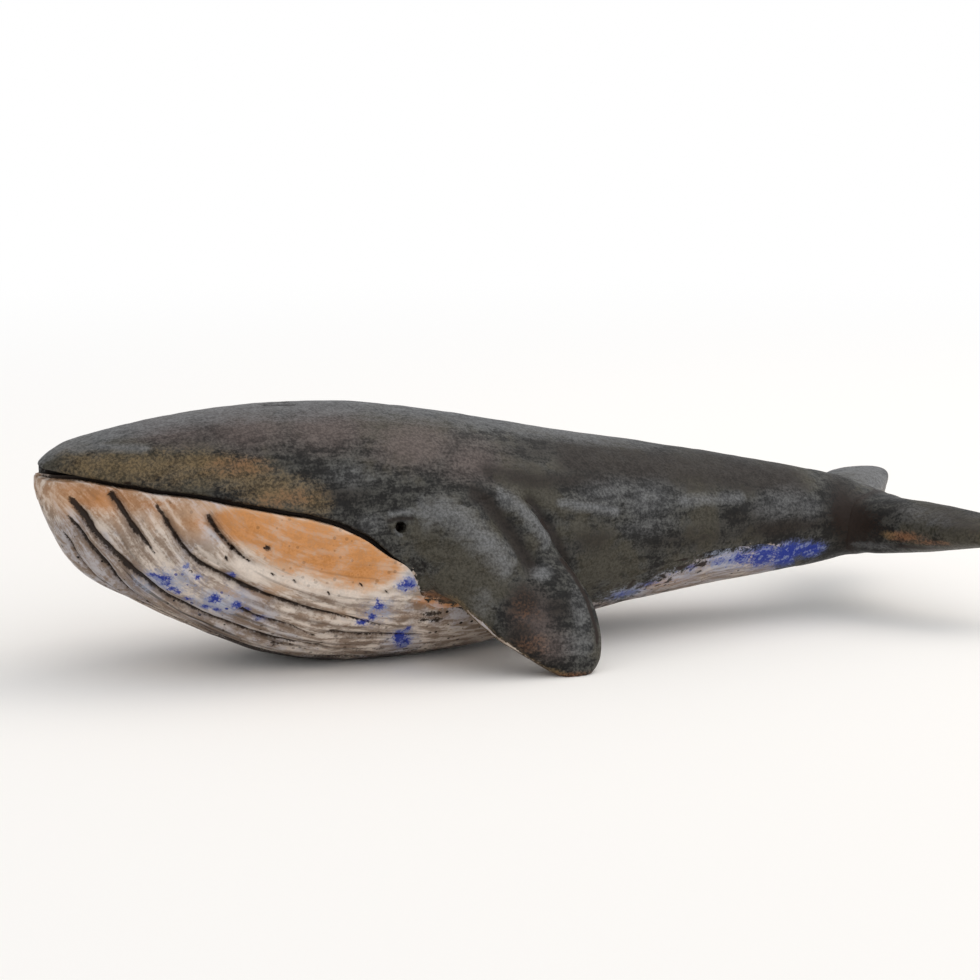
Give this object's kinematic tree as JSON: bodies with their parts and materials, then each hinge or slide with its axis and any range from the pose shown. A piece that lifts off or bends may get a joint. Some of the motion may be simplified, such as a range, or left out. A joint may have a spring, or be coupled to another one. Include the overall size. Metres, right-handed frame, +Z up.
{
  "type": "whale figurine",
  "caption": "Hand-built hollow ceramic whale with a dark glazed back, pale pleated throat, splayed flippers and broad tail flukes, resting on its belly.",
  "frame": {"origin": "on the table, under the middle of the whale's length and width", "axes": "+Z up; the nose points along -X, the tail along +X; the whale's left side faces -Y"},
  "size_m": [0.2981, 0.108, 0.0745],
  "materials": {
    "oxide_glaze": "satin charcoal oxide glaze, mottled grey, olive and rust",
    "throat_slip": "satin pale slip, toasted orange in places, with cobalt flecks and dark pleats"
  },
  "bodies": {
    "root": {"back_shell": "oxide_glaze", "belly_shell": "throat_slip", "left_flipper": "oxide_glaze", "right_flipper": "oxide_glaze", "left_fluke": "oxide_glaze", "right_fluke": "oxide_glaze"}
  },
  "joints": []
}
